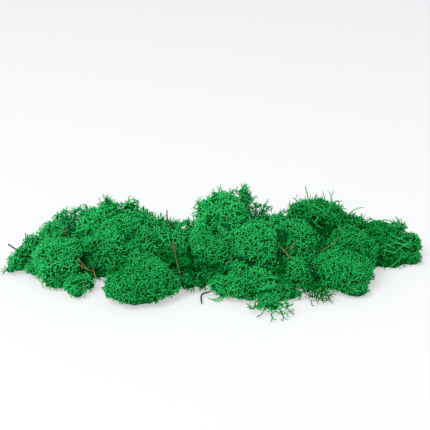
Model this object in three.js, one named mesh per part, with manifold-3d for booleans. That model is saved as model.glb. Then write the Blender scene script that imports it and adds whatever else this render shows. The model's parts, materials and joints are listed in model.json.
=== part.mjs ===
// A heap of preserved reindeer moss: soft dyed lichen cushions pressed together on a table,
// with dry pine needles and twigs from the forest floor still caught in them.
//
// Millimetres, +Z up, X along the heap, -Y towards the viewer. The origin is the middle of the
// heap's footprint on the table. Each cushion is one solid: a lumpy core with forked branches
// standing out of it. Cushions meet on flat faces with a small gap, so none crosses another.

import * as THREE from "three";
import { mergeVertices } from "three/addons/utils/BufferGeometryUtils.js";
import Module from "manifold-3d";

const wasm = await Module();
wasm.setup();

const moss = new THREE.MeshStandardMaterial({ color: 0x1a7f3a, roughness: 0.9, metalness: 0 });
const bareStalk = new THREE.MeshStandardMaterial({ color: 0x21502c, roughness: 0.8, metalness: 0 });
const dryWood = new THREE.MeshStandardMaterial({ color: 0x8a4a1e, roughness: 0.7, metalness: 0 });

// Driving dimensions

const BRANCH_REACH = 9; // how far the branch tips stand out of a core, unless a row says less
const SHORTEST_BRANCH = 0.35; // share of that reach that a branch in a narrow place keeps
const BRANCH_TILT = 0.3; // how far a branch leans from square to the core, as a slope
const BRANCH_VARIATION = 0.2; // share by which a branch's lengths and angles vary
const ROOT_SHARE = 0.15; // how deep a branch's root goes, as a share of the way to the centre
const FACE_AREA = 44; // of a core's faces, the feet of its branches, unless a row says less
const DRAW_SHARE = 0.75; // of a face's width: the furthest that its corners are moved
const LUMP_SHARE = 0.06; // how much the broad lumps swell or pinch a core
const TUFT_HEIGHT = 2.2; // how far a core's small tufts rise above or sink below its lumps
const FADE = 1.6; // how fast a cushion's filling fades out beyond its plain outline
const LARGEST_SWELLING = 1.8; // of a core's radius, where its neighbours run together with it
const PRESSED_GAP = 0.4; // between cushions that press against each other
const CHANNEL_CLEARANCE = 0.4; // round a needle or twig, in the moss that holds it
const SMALLEST_STEP = 0.03; // that the cuts leave in a cushion's skin
const STRAND_SIDES = 5; // of a needle's or twig's section

// A branch's levels, from its foot on a core face to its tips. A level ends in a ring that three
// thinner shoots share, or in a tip. Lengths and half widths are shares of the reach.
const BRANCH = [{ length: 0.45, halfWidth: 0.2, spread: 0.75 }, { length: 0.68 }];

// Each cushion: the centre of its core above the table, and the core's radii along X, Y and Z.
const CUSHIONS = [
  { name: "cushion_far_left", at: [-180, 18, 8], radii: [15, 16, 9], faceArea: 32 },
  { name: "cushion_left_slope", at: [-144, 33, 23], radii: [23, 23, 18] },
  { name: "cushion_left_peak", at: [-106, 35, 33], radii: [24, 23, 23] },
  { name: "cushion_left_shoulder", at: [-77, 31, 32], radii: [19, 21, 22] },
  { name: "cushion_left_middle", at: [-142, -3, 16], radii: [25, 23, 18] },
  { name: "cushion_left_lobe", at: [-118, -29, 6], radii: [10, 10, 9], reach: 6, faceArea: 26 },
  { name: "cushion_left_lap", at: [-108, 5, 16], radii: [20, 20, 17], faceArea: 34 },
  { name: "cushion_left_inner", at: [-86, 5, 31], radii: [26, 22, 19] },
  { name: "cushion_front_left", at: [-70, -38, 13], radii: [29, 28, 19] },
  { name: "cushion_saddle", at: [-46, 25, 22], radii: [21, 22, 18] },
  { name: "cushion_saddle_back", at: [-20, 39, 17], radii: [17, 19, 14] },
  { name: "cushion_centre_foot", at: [-32, -7, 15], radii: [22, 22, 15] },
  { name: "cushion_centre_left", at: [-6, -3, 24], radii: [19, 24, 19] },
  { name: "cushion_peak", at: [4, 25, 48], radii: [23, 23, 23] },
  { name: "cushion_peak_knob", at: [26, 25, 68], radii: [7, 7, 11], reach: 6, faceArea: 24 },
  { name: "cushion_back_foot", at: [10, 53, 20], radii: [25, 19, 18] },
  { name: "cushion_back_ridge", at: [50, 37, 27], radii: [25, 23, 19] },
  { name: "cushion_centre", at: [33, 1, 29], radii: [24, 24, 20] },
  { name: "cushion_front_centre", at: [20, -33, 10], radii: [27, 20, 13], faceArea: 26 },
  { name: "cushion_front_tail", at: [46, -66, 6], radii: [18, 16, 8], reach: 7, faceArea: 36 },
  { name: "cushion_front_round", at: [68, -25, 14], radii: [18, 16, 14] },
  { name: "cushion_right_inner", at: [73, 9, 30], radii: [19, 20, 17] },
  { name: "cushion_right_peak", at: [93, 39, 34], radii: [29, 24, 23] },
  { name: "cushion_right_middle", at: [120, 9, 21], radii: [24, 21, 18] },
  { name: "cushion_right_front", at: [112, -20, 14], radii: [27, 23, 14] },
  { name: "cushion_right_arm", at: [150, 45, 15], radii: [24, 21, 16] },
  { name: "cushion_far_right", at: [182, 47, 11], radii: [12, 17, 13] },
];

// Dry needles, twigs and bare stalks caught in the heap: how wide each is, and the points that
// its strands run through. Where a strand passes through moss, it lies in a channel there.
const STRAY_PIECES = [
  {
    name: "twig_far_left",
    width: 1.7,
    strands: [[[-193, 17, 26], [-186, 18, 20], [-181, 21, 12]]],
  },
  {
    name: "twig_left_stem",
    width: 1.5,
    strands: [[[-137, 22, 47], [-136, 20, 39], [-136, 18, 31], [-134, 23, 25]]],
  },
  {
    name: "needle_pair_left",
    width: 1.2,
    strands: [
      [[-126, -20, 31], [-120, -23, 25], [-114, -24, 19], [-110, -17, 15]],
      [[-126, -23, 27], [-120, -25, 23], [-114.5, -24.2, 19.3]],
    ],
  },
  {
    name: "needle_left_curved",
    width: 1.2,
    strands: [[[-112, -15, 19], [-109, -26, 17], [-107, -34, 13], [-110, -39, 7]]],
  },
  {
    name: "twig_standing",
    width: 1.8,
    strands: [[[-46, 25, 57], [-46, 25, 50], [-43, 25, 40], [-41, 26, 31]]],
  },
  {
    name: "stalk_saddle",
    width: 1.3,
    strands: [[[-40, -1, 37], [-38, -9, 31], [-37, -19, 30], [-33, -32, 20], [-30, -33, 8]]],
  },
  {
    name: "needle_centre_right",
    width: 1.3,
    strands: [[[54, -7, 37], [58, -16, 36], [62, -21, 33], [67, -28, 29]]],
  },
  {
    name: "needle_centre_short",
    width: 1.1,
    strands: [[[69, -12, 42], [67, -15, 38], [63, -13, 32]]],
  },
  {
    name: "needle_right_curved",
    width: 1.2,
    strands: [[[90, -1, 27], [95, -7, 31], [101, -5, 34], [106, -3, 38], [109, 0, 42]]],
  },
  {
    name: "stalk_front",
    width: 1.5,
    material: bareStalk,
    strands: [[[4, -31, 9], [-5, -38, 5], [-13, -41, 3], [-13, -56, 2]]],
  },
];

// Seeded random numbers from 0 to 1 (mulberry32)
function randomFrom(seed) {
  let state = seed >>> 0;
  return () => {
    state = (state + 0x6d2b79f5) >>> 0;
    let t = state;
    t = Math.imul(t ^ (t >>> 15), t | 1);
    t ^= t + Math.imul(t ^ (t >>> 7), t | 61);
    return ((t ^ (t >>> 14)) >>> 0) / 4294967296;
  };
}

function varied(value, random) {
  return value * (1 + BRANCH_VARIATION * (2 * random() - 1));
}

function shuffled(list, random) {
  const result = [...list];
  for (let i = result.length - 1; i > 0; i--) {
    const j = Math.floor(random() * (i + 1));
    [result[i], result[j]] = [result[j], result[i]];
  }
  return result;
}

function randomDirection(random) {
  const z = 2 * random() - 1;
  const angle = 2 * Math.PI * random();
  const flat = Math.sqrt(1 - z * z);
  return new THREE.Vector3(flat * Math.cos(angle), flat * Math.sin(angle), z);
}

function middleOf(points) {
  const sum = new THREE.Vector3();
  for (const point of points) sum.add(point);
  return sum.divideScalar(points.length);
}

// The shape of a core: an ellipsoid with broad lumps, which a few waves raise and sink.

const WAVES_PER_CORE = 5;

function wavesFrom(random) {
  return Array.from({ length: WAVES_PER_CORE }, () => ({
    axis: randomDirection(random),
    turns: 3 + 3 * random(),
    phase: 2 * Math.PI * random(),
  }));
}

const cushions = CUSHIONS.map((row, index) => {
  const random = randomFrom(1000 + index);
  const centre = new THREE.Vector3(...row.at);
  const size = new THREE.Vector3(...row.radii);
  const usual = { reach: BRANCH_REACH, faceArea: FACE_AREA };
  return { ...usual, ...row, random, centre, size, waves: wavesFrom(random) };
});

function plainRadius({ size }, direction) {
  return 1 / direction.clone().divide(size).length();
}

// How strongly the cushions fill a place. Each one counts 1 on its own plain outline and fades
// out beyond it. The heap's outline is where they add up to 1, so neighbours run together.
function filling(point) {
  let sum = 0;
  for (const { centre, size } of cushions)
    sum += Math.exp(FADE * (1 - point.clone().sub(centre).divide(size).lengthSq()));
  return sum;
}

function coreRadius(cushion, direction) {
  const step = 0.5;
  let radius = plainRadius(cushion, direction);
  const limit = LARGEST_SWELLING * radius;
  const at = (distance) => cushion.centre.clone().addScaledVector(direction, distance);
  while (radius < limit && filling(at(radius + step)) > 1) radius += step;
  let lumps = 0;
  for (const { axis, turns, phase } of cushion.waves)
    lumps += Math.sin(axis.dot(direction) * turns + phase);
  return radius * (1 + (LUMP_SHARE * lumps) / Math.sqrt(WAVES_PER_CORE));
}

// Where two cushions press together, a plane across the line between their centres parts them.
// The table is one more such plane.

function partingPlane(cushion, other) {
  const between = other.centre.clone().sub(cushion.centre);
  const normal = between.clone().normalize();
  const own = plainRadius(cushion, normal);
  const others = plainRadius(other, normal);
  const point = cushion.centre.clone().addScaledVector(between, own / (own + others));
  return new THREE.Plane(normal, PRESSED_GAP / 2 - normal.dot(point));
}

const table = new THREE.Plane(new THREE.Vector3(0, 0, -1), 0);
for (const cushion of cushions) {
  const others = cushions.filter((other) => other !== cushion);
  cushion.planes = [table, ...others.map((other) => partingPlane(cushion, other))];
}

// The plane that a point is furthest beyond, or else nearest to, and how far beyond it is
function nearestPlane(cushion, point) {
  let nearest = { beyond: -Infinity };
  for (const plane of cushion.planes) {
    const beyond = plane.distanceToPoint(point);
    if (beyond > nearest.beyond) nearest = { beyond, plane };
  }
  return nearest;
}

// The skin of a core: points, and triangles as the numbers of their corners. A corner near a
// parting plane is drawn to just inside it, so that whole faces end there, unless that would
// fold a face over.

function skinPlaces(cushion, direction, tuft) {
  const leftInside = 0.02;
  const furthest = DRAW_SHARE * Math.sqrt(cushion.faceArea);
  const radius = (along) => coreRadius(cushion, along) + tuft;
  const plain = cushion.centre.clone().addScaledVector(direction, radius(direction));
  const drawn = plain.clone();
  for (let round = 0; round < 3; round++) {
    const { beyond, plane } = nearestPlane(cushion, drawn);
    if (Math.abs(beyond) > furthest) return { plain, drawn: plain };
    drawn.addScaledVector(plane.normal, -beyond - leftInside);
    const along = drawn.clone().sub(cushion.centre).normalize();
    drawn.copy(cushion.centre).addScaledVector(along, radius(along));
  }
  return { plain, drawn };
}

function facesOut(cushion, corners) {
  const smallestTurn = 0.004;
  const [a, b, c] = corners.map((corner) => corner.clone().sub(cushion.centre).normalize());
  return a.cross(b).dot(c) > smallestTurn;
}

function plainNet(cushion) {
  const probes = Array.from({ length: 40 }, () => randomDirection(cushion.random));
  const radii = probes.map((direction) => coreRadius(cushion, direction));
  const meanRadius = radii.reduce((sum, radius) => sum + radius) / radii.length;
  const faceCount = (4 * Math.PI * meanRadius ** 2) / cushion.faceArea;
  const ball = new THREE.OctahedronGeometry(1, Math.round(Math.sqrt(faceCount / 8)) - 1);
  ball.deleteAttribute("normal");
  ball.deleteAttribute("uv");
  return mergeVertices(ball, 1e-4);
}

function coreSkin(cushion) {
  const { random } = cushion;
  const net = plainNet(cushion);
  const turn = new THREE.Quaternion().setFromAxisAngle(randomDirection(random), 3 * random());
  const places = [];
  for (let i = 0; i < net.attributes.position.count; i++) {
    const direction = new THREE.Vector3().fromBufferAttribute(net.attributes.position, i);
    direction.applyQuaternion(turn).normalize();
    places.push(skinPlaces(cushion, direction, TUFT_HEIGHT * (2 * random() - 1)));
  }
  const faces = [];
  for (let i = 0; i < net.index.count; i += 3)
    faces.push([0, 1, 2].map((corner) => net.index.getX(i + corner)));
  const points = places.map(({ drawn }) => drawn);
  for (let round = 0; round < 6; round++)
    for (const face of faces)
      if (!facesOut(cushion, face.map((corner) => points[corner])))
        for (const corner of face) points[corner] = places[corner].plain;
  return { points, faces };
}

// Forked branches, grown out of a face of the skin: each fork's ring is split among its shoots.

function ringAt(points, foot, end, direction, halfWidth) {
  const middle = middleOf(foot.map((corner) => points[corner]));
  return foot.map((corner) => {
    const out = points[corner].clone().sub(middle);
    out.addScaledVector(direction, -out.dot(direction)).setLength(halfWidth);
    return end.clone().add(out);
  });
}

function grow(points, foot, direction, levels, reach, random) {
  const [level, ...further] = levels;
  const end = middleOf(foot.map((corner) => points[corner]));
  end.addScaledVector(direction, varied(reach * level.length, random));
  if (!further.length) {
    const tip = points.push(end) - 1;
    return [0, 1, 2].map((i) => [foot[i], foot[(i + 1) % 3], tip]);
  }
  const ring = ringAt(points, foot, end, direction, reach * level.halfWidth);
  const far = ring.map((place) => points.push(place) - 1);
  const crotchRise = 0.2;
  const crotch = points.push(end.clone().addScaledVector(direction, crotchRise)) - 1;
  const faces = [];
  for (let i = 0; i < 3; i++) {
    const j = (i + 1) % 3;
    faces.push([foot[i], foot[j], far[j]], [foot[i], far[j], far[i]]);
    const outward = ring[i].clone().add(ring[j]).divideScalar(2).sub(end).normalize();
    const spread = varied(level.spread, random);
    const heading = direction.clone().multiplyScalar(Math.cos(spread));
    heading.addScaledVector(outward, Math.sin(spread));
    const shoot = [far[i], far[j], crotch];
    faces.push(...grow(points, shoot, heading, further, reach, random));
  }
  return faces;
}

// Feet are faces that share no edge, inside the cushion's parting planes.

function chosenFeet(cushion, { points, faces }) {
  const taken = new Set();
  const feet = [];
  for (const face of shuffled(faces, cushion.random)) {
    const corners = face.map((corner) => points[corner]);
    if (!corners.every((corner) => nearestPlane(cushion, corner).beyond < 0)) continue;
    const edges = [0, 1, 2].map((i) => [face[i], face[(i + 1) % 3]].sort((a, b) => a - b).join());
    if (edges.some((edge) => taken.has(edge))) continue;
    for (const edge of edges) taken.add(edge);
    const direction = middleOf(corners).sub(cushion.centre).normalize();
    const normal = new THREE.Triangle(...corners).getNormal(new THREE.Vector3());
    feet.push({ corners, direction, normal });
  }
  return feet;
}

// A branch as a solid of its own: its skin, closed by a root that is sunk into the core

function branchAt(cushion, foot, reach) {
  const { random } = cushion;
  const heading = foot.normal.clone().addScaledVector(randomDirection(random), BRANCH_TILT);
  const points = foot.corners.map((corner) => corner.clone());
  const faces = grow(points, [0, 1, 2], heading.normalize(), BRANCH, reach, random);
  const grown = points.slice(foot.corners.length);
  const root = points.push(middleOf(foot.corners).lerp(cushion.centre, ROOT_SHARE)) - 1;
  faces.push([1, 0, root], [2, 1, root], [0, 2, root]);
  return { points, faces, grown, heading };
}

// A branch must rise above its foot, keep inside the parting planes, and stay on its own side
// of the planes halfway to the other feet.
function hasRoom(cushion, foot, feet, { grown, heading }) {
  const leastRise = 0.3;
  const leastInside = 0.1;
  const [firstRing] = grown;
  return (
    foot.corners.every((corner) => firstRing.clone().sub(corner).dot(heading) > leastRise) &&
    grown.every((point) => {
      const from = point.clone().sub(cushion.centre);
      const own = from.dot(foot.direction);
      const apart = feet.every((other) => own >= from.dot(other.direction));
      return apart && nearestPlane(cushion, point).beyond < -leastInside;
    })
  );
}

function solidOf(points, corners) {
  const vertProperties = new Float32Array(points);
  const triVerts = new Uint32Array(corners);
  return new wasm.Manifold(new wasm.Mesh({ numProp: 3, vertProperties, triVerts }));
}

function skinSolid({ points, faces }) {
  return solidOf(points.flatMap((point) => point.toArray()), faces.flat());
}

function branchSolids(cushion, skin) {
  const feet = chosenFeet(cushion, skin);
  const solids = [];
  for (const foot of feet)
    for (let share = 1; share >= SHORTEST_BRANCH; share -= 0.05) {
      const branch = branchAt(cushion, foot, cushion.reach * share);
      if (!hasRoom(cushion, foot, feet, branch)) continue;
      solids.push(skinSolid(branch));
      break;
    }
  return solids;
}

function cushionSolid(cushion) {
  const skin = coreSkin(cushion);
  let solid = wasm.Manifold.union([skinSolid(skin), ...branchSolids(cushion, skin)]);
  for (const { normal, constant } of cushion.planes)
    solid = solid.trimByPlane(normal.clone().negate().toArray(), constant);
  return solid;
}

// A strand is a slim prism along a smooth curve. The channel round it is wider, and longer.

function strandSolid(places, width, clearance) {
  const points = places.map((place) => new THREE.Vector3(...place));
  const ends = [points[0], points.at(-1)];
  const next = [points[1], points.at(-2)];
  ends.forEach((end, i) => end.add(end.clone().sub(next[i]).setLength(clearance)));
  const radius = width / 2 + clearance;
  const corners = Array.from({ length: STRAND_SIDES }, (_, i) => {
    const angle = (2 * Math.PI * i) / STRAND_SIDES;
    return new THREE.Vector2(radius * Math.cos(angle), radius * Math.sin(angle));
  });
  const prism = new THREE.ExtrudeGeometry(new THREE.Shape(corners), {
    steps: 2 * (points.length - 1),
    extrudePath: new THREE.CatmullRomCurve3(points),
    bevelEnabled: false,
  });
  prism.deleteAttribute("normal");
  prism.deleteAttribute("uv");
  const merged = mergeVertices(prism, 1e-4);
  return solidOf(merged.attributes.position.array, merged.index.array);
}

function straySolid({ strands, width }, clearance = 0) {
  return wasm.Manifold.union(strands.map((strand) => strandSolid(strand, width, clearance)));
}

// The heap

function largestOf(solid) {
  return solid.decompose().sort((a, b) => b.volume() - a.volume())[0];
}

function geometryOf(solid) {
  const { vertProperties, triVerts } = solid.getMesh();
  const geometry = new THREE.BufferGeometry();
  geometry.setAttribute("position", new THREE.BufferAttribute(vertProperties, 3));
  geometry.setIndex(new THREE.BufferAttribute(triVerts, 1));
  geometry.computeVertexNormals();
  return geometry;
}

const heap = new THREE.Group();

function addPiece(name, solid, material) {
  const mesh = new THREE.Mesh(geometryOf(solid), material);
  mesh.name = name;
  heap.add(mesh);
}

const channels = wasm.Manifold.union(
  STRAY_PIECES.map((piece) => straySolid(piece, CHANNEL_CLEARANCE)),
);
for (const cushion of cushions) {
  const channelled = cushionSolid(cushion).subtract(channels).simplify(SMALLEST_STEP);
  addPiece(cushion.name, largestOf(channelled), moss);
}
for (const piece of STRAY_PIECES)
  addPiece(piece.name, straySolid(piece), piece.material ?? dryWood);

const middle = new THREE.Box3().setFromObject(heap).getCenter(new THREE.Vector3());
heap.position.set(-middle.x, -middle.y, 0);

export default heap;
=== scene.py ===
import json
import math
import random

import bmesh
import bpy
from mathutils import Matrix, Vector

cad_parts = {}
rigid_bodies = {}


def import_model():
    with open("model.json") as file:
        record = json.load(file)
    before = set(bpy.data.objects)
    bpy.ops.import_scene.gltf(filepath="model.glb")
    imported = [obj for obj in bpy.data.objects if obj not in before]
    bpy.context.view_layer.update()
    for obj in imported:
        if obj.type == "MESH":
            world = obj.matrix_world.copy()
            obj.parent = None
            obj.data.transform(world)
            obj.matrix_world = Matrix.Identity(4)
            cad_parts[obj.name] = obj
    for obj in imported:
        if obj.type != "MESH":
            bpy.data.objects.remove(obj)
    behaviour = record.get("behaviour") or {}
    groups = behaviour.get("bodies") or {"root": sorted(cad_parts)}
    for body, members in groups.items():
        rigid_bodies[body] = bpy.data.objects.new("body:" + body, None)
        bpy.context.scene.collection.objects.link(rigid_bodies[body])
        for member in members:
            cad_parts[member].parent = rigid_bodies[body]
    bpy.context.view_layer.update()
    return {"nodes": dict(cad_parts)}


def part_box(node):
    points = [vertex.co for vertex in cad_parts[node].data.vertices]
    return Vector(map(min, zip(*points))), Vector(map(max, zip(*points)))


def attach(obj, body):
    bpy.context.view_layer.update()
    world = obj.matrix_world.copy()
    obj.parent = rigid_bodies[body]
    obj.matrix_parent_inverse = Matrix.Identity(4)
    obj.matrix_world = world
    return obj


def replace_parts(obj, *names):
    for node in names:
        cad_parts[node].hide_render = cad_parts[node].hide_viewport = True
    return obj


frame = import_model()
MM = 0.001

# Camera, table top and light.
# The heap lies on a plain white table and is seen from the front, from a little above. The light is
# soft and nearly white, with a little more of it from the upper left, so the moss throws only a
# faint shadow round its foot.
VIEW_CENTRE = Vector((-3.7, 7.8, 60)) * MM
VIEW_DISTANCE = 910 * MM
VIEW_RISE = math.radians(22)
VIEW_WIDTH = math.radians(24)
TABLE_WIDTH = 30.0
TABLE_WHITE = (0.35, 0.353, 0.357)
TABLE_GLOW = 0.517
GLOW_COLOUR = (0.985, 0.995, 1.0, 1)
MOTTLE_WIDTH = 10.0
MOTTLE_START = 1.5
MOTTLE_TONE = (0.98, 1.0)
NOISE_RANGE = (0.3, 0.7)
ROOM_COLOUR = (0.97, 0.985, 1.0, 1)
ROOM_LIGHT = 0.6
LAMP_PLACE = Vector((-1.5, -2.1, 3.1))
LAMP_WIDTH = 2.6
LAMP_POWER = 180.0

camera_data = bpy.data.cameras.new("camera")
camera_data.angle = VIEW_WIDTH
camera = bpy.data.objects.new("camera", camera_data)
camera.location = VIEW_CENTRE + VIEW_DISTANCE * Vector((0, -math.cos(VIEW_RISE), math.sin(VIEW_RISE)))
camera.rotation_euler = (math.pi / 2 - VIEW_RISE, 0, 0)
bpy.context.scene.collection.objects.link(camera)
bpy.context.scene.camera = camera
bpy.context.scene.view_settings.view_transform = "Standard"

lamp_data = bpy.data.lights.new("soft_lamp", "AREA")
lamp_data.size = LAMP_WIDTH
lamp_data.energy = LAMP_POWER
lamp = bpy.data.objects.new("soft_lamp", lamp_data)
lamp.location = LAMP_PLACE
lamp.rotation_euler = (-LAMP_PLACE).to_track_quat("-Z", "Y").to_euler()
bpy.context.scene.collection.objects.link(lamp)

room = bpy.data.worlds.new("pale_room")
room.use_nodes = True
room.node_tree.nodes["Background"].inputs["Color"].default_value = ROOM_COLOUR
room.node_tree.nodes["Background"].inputs["Strength"].default_value = ROOM_LIGHT
bpy.context.scene.world = room


def add_node(tree, kind, *values, **settings):
    """Places one node, makes its settings, then joins or fills its inputs in their order.
    Gives back its output, or the list of them where there are several."""
    node = tree.nodes.new(kind)
    for name, value in settings.items():
        setattr(node, name, value)
    sockets = [socket for socket in node.inputs if socket.enabled]
    for socket, value in zip(sockets, values):
        if isinstance(value, bpy.types.NodeSocket):
            tree.links.new(value, socket)
        elif value is not None:
            socket.default_value = value
    outputs = [socket for socket in node.outputs if socket.enabled]
    return outputs[0] if len(outputs) == 1 else outputs


def add_vector(tree, operation, *values):
    return add_node(tree, "ShaderNodeVectorMath", *values, operation=operation)


def noise(tree, place, width, detail=1.0):
    """A value between 0 and 1 that drifts by chance over about the width."""
    return add_node(tree, "ShaderNodeTexNoise", place, 1 / width, detail, 0.5)[0]


def map_range(tree, value, *ends):
    """A value's range carried over to another one: its ends, then the new ends."""
    return add_node(tree, "ShaderNodeMapRange", value, *ends)


def new_finish(name):
    """A new material: itself, its tree and the node of its shader."""
    finish = bpy.data.materials.new(name)
    finish.use_nodes = True
    return finish, finish.node_tree, finish.node_tree.nodes["Principled BSDF"]


table_finish, tree, shader = new_finish("white_table_top")
place = tree.nodes.new("ShaderNodeTexCoord").outputs["Object"]
place = add_vector(tree, "MULTIPLY_ADD", place, [1 / MOTTLE_WIDTH] * 3, [MOTTLE_START] * 3)
tone = map_range(tree, noise(tree, place, 1.0, 2.0), *NOISE_RANGE, *MOTTLE_TONE)
tint = add_vector(tree, "MULTIPLY", TABLE_WHITE, tone)
tree.links.new(tint, shader.inputs["Base Color"])
shader.inputs["Emission Color"].default_value = GLOW_COLOUR
shader.inputs["Emission Strength"].default_value = TABLE_GLOW
shader.inputs["Roughness"].default_value = 0.6
shader.inputs["Specular IOR Level"].default_value = 0.2

table_mesh = bpy.data.meshes.new("table_top")
half = TABLE_WIDTH / 2
table_mesh.from_pydata([(-half, -half, 0), (half, -half, 0), (half, half, 0), (-half, half, 0)],
                       [], [(0, 1, 2, 3)])
table_mesh.materials.append(table_finish)
table = bpy.data.objects.new("table_top", table_mesh)
bpy.context.scene.collection.objects.link(table)

# The cushions of lichen.
# Each real cushion is a soft ball of branches that fork again and again into short spread tips. It
# was picked, dyed green and kept supple, then pressed among the others. Here each is a lumpy heart,
# dark as painted shade of the tangle's depth, with forked shoots standing all over it where it shows.
# The shoots: how many are drawn of each kind, and how far each may differ by chance.
SHOOT_KINDS = 8
SHOOT_FACES = 72
LENGTH_CHANCE = (0.7, 1.3)
TIP_CHANCE = (0.6, 1.4)
TURN_CHANCE = (0.5, 1.4)
BRANCH_TAPER = 0.15
FORK_RISE = 0.8
BRANCH_SWAY = 0.2
ROOT_SWAY = 0.12
STRAND_TAPER = 0.35
SPUR_LENGTH = (1 * MM, 3 * MM)
ALONG_CHANCE = 0.01

# The hearts and how the shoots stand on them, smaller in seams, in hollows and under stray pieces.
LAYER_SEEDS = {"Low": 0, "Tall": 1000, "Curl": 3000, "Strand": 2000}
VOXEL = 2.0 * MM
SKIN_BAND = 4.0 * MM
SKIN_LEVEL = 0.7
SKIN_GROWTH = 2.5 * MM
LUMP_WIDTH = 13 * MM
TUFT_WIDTH = 18 * MM
SWELL_WIDTH = 9 * MM
SIZE_CHANCE = (0.75, 1.25)
ROOT_DENSITY = 1.6
FLOOR_CLEARANCE = 0.3 * MM
UNDERSIDE = 6 * MM
FACING_DOWN = -0.3
TOO_STEEP = 0.1
FOOT_ZONE = (2 * MM, 12 * MM)
COVER = 3 * MM
PROBE = 60 * MM
SEAM_REACH = 4.5 * MM
HOLLOW_REACH = 10 * MM
HOLLOW_DEPTH = 9 * MM
PRESS_REACH = 5 * MM
HOLLOW_FULL, PRESS_FULL = 0.3, 0.4
SEAM_SIZE, HOLLOW_SIZE, PRESSED_SIZE = -0.35, -0.5, -0.55

# The colours: how the shade changes, and the colour from the depth to the tips, in dark and light
# shade. The colour darkens toward the roots as painted shade of the tangle's depth, and the dark end
# also carries the painted shade of seams, hollows and low growth. A grain is its counts, detail,
# contrast, and least and most roughness.
SHADE_CHANCE = 0.17
STRAND_SHADE = 0.75
# How high on the colour ramp the heart lies: low, so it is dark as painted shade.
HEART_SHADE_HEIGHT = 0.14
ROUND_SHADE = 0.03
MOTTLE_SHADE = 0.06
# How far seams and hollows darken the colour, as painted shade.
SEAM_PAINTED_SHADE, HOLLOW_PAINTED_SHADE = -0.18, -1.4
SHADE_RANGE = (-0.72, 1.68)
DYE_STOPS = (0.0, 0.35, 0.75, 1.0)
DARK_DYE_AND_SHADE = ((0.0002, 0.037, 0.004), (0.0003, 0.098, 0.011), (0.0006, 0.202, 0.021),
            (0.003, 0.25, 0.032))
LIGHT_DYE_AND_DEPTH_SHADE = ((0.0004, 0.112, 0.016), (0.0040, 0.315, 0.054), (0.023, 0.59, 0.144),
             (0.092, 0.71, 0.236))
MOSS_GRAIN = ((60, 9, 1), 2.0, 0.15, 0.72, 0.92)
OWN_MARKS = ("along", "around", "shade", "out", "cushion", "seam", "hollow", "pressed", "girth")


def marked_mesh(name, points, faces, along, draw):
    """A mesh that also holds how far up its growth each point is, and a chance value round it."""
    mesh = bpy.data.meshes.new(name)
    mesh.from_pydata(points, [], faces)
    mesh.attributes.new("along", "FLOAT", "POINT").data.foreach_set("value", along)
    around = [draw.random() for _ in points]
    mesh.attributes.new("around", "FLOAT", "POINT").data.foreach_set("value", around)
    return mesh


def shoot_mesh(name, seed, lengths, tip, spread, thickness, full, early=0.0):
    """One forked shoot, closed and three-sided, standing on its root. A branch ends in a low
    point, and two or three of the small faces round that carry on as branches, then as tips.
    Full is the share of forks that have all three, early that of branches that end sooner."""
    draw = random.Random(seed)
    whole = sum(lengths) + tip
    points, along, faces = [], [], []

    def new_point(place, share):
        points.append(place)
        along.append(min(1.0, max(0.0, share + draw.uniform(-ALONG_CHANCE, ALONG_CHANCE))))
        return len(points) - 1

    def grow(face, direction, level, reached):
        middle = sum((points[i] for i in face), Vector()) / 3
        if level == len(lengths) or (level and draw.random() < early):
            peak = new_point(middle + direction * tip * draw.uniform(*TIP_CHANCE), 1.0)
            faces.extend((face[i], face[(i + 1) % 3], peak) for i in range(3))
            return
        length = lengths[level] * draw.uniform(*LENGTH_CHANCE)
        reached += lengths[level] / whole
        radius = thickness / 2 * (1 - BRANCH_TAPER * level)
        end = middle + direction * length
        ring = []
        for corner in face:
            spoke = points[corner] - middle
            spoke -= direction * spoke.dot(direction)
            ring.append(new_point(end + spoke.normalized() * radius, reached))
        for i in range(3):
            j = (i + 1) % 3
            faces.extend(((face[i], face[j], ring[j]), (face[i], ring[j], ring[i])))
        fork = new_point(end + direction * radius * FORK_RISE, reached)
        bare = None if draw.random() < full else draw.randrange(3)
        for i in range(3):
            side = (ring[i], ring[(i + 1) % 3], fork)
            if i == bare:
                faces.append(side)
                continue
            outward = (points[side[0]] + points[side[1]]) / 2 - end
            turn = outward.normalized() * spread * draw.uniform(*TURN_CHANCE)
            sway = Vector([draw.gauss(0, BRANCH_SWAY) for _ in range(3)])
            grow(side, (direction + turn + sway).normalized(), level + 1, reached)

    for i in range(3):
        angle = 2 * math.pi * (i + draw.uniform(-0.1, 0.1)) / 3
        new_point(Vector((math.cos(angle), math.sin(angle), 0)) * thickness / 2, 0.02)
    faces.append((2, 1, 0))
    upright = Vector((draw.gauss(0, ROOT_SWAY), draw.gauss(0, ROOT_SWAY), 1)).normalized()
    grow((0, 1, 2), upright, 0, 0)
    return marked_mesh(name, points, faces, along, draw)


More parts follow.
